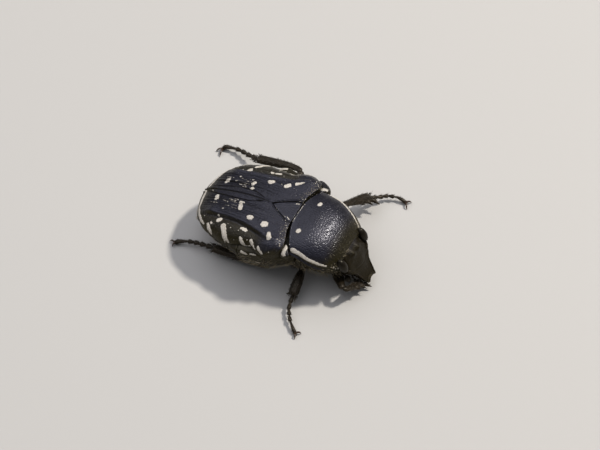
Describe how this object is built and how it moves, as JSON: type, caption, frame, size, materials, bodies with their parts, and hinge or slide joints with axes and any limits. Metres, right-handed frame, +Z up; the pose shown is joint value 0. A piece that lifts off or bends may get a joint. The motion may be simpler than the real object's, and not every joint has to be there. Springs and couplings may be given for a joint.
{
  "type": "white-spotted flower chafer beetle",
  "caption": "Still, life-size model of a white-spotted black flower chafer standing on its feet, with shell plates, wing cases, head, eyes, feelers and jointed legs as separate solids.",
  "frame": {"origin": "middle of the floor rectangle under the beetle, feet and all", "axes": "+Z up from the floor; -Y towards the head; +X towards the beetle's left side"},
  "size_m": [0.0118, 0.0126, 0.0042],
  "materials": {
    "shell": "satin blue-black with cream white spots",
    "leg": "satin black-brown with short bristles",
    "claw": "dark reddish brown",
    "eye": "glossy dark brown"
  },
  "bodies": {
    "root": {"pronotum": "shell", "prosternum": "shell", "scutellum": "shell", "thorax_underside": "shell", "abdomen": "shell", "pygidium": "shell", "elytron_left": "shell", "elytron_right": "shell", "mesepimeron_left": "shell", "mesepimeron_right": "shell", "head": "shell", "eye_left": "eye", "eye_right": "eye", "antenna_left": "leg", "antenna_right": "leg", "mouthparts": "leg", "coxa_front_left": "leg", "femur_front_left": "leg", "tibia_front_left": "leg", "tarsus_front_left": "leg", "claws_front_left": "claw", "coxa_front_right": "leg", "femur_front_right": "leg", "tibia_front_right": "leg", "tarsus_front_right": "leg", "claws_front_right": "claw", "coxa_middle_left": "leg", "femur_middle_left": "leg", "tibia_middle_left": "leg", "tarsus_middle_left": "leg", "claws_middle_left": "claw", "coxa_middle_right": "leg", "femur_middle_right": "leg", "tibia_middle_right": "leg", "tarsus_middle_right": "leg", "claws_middle_right": "claw", "coxa_hind_left": "leg", "femur_hind_left": "leg", "tibia_hind_left": "leg", "tarsus_hind_left": "leg", "claws_hind_left": "claw", "coxa_hind_right": "leg", "femur_hind_right": "leg", "tibia_hind_right": "leg", "tarsus_hind_right": "leg", "claws_hind_right": "claw"}
  },
  "joints": []
}
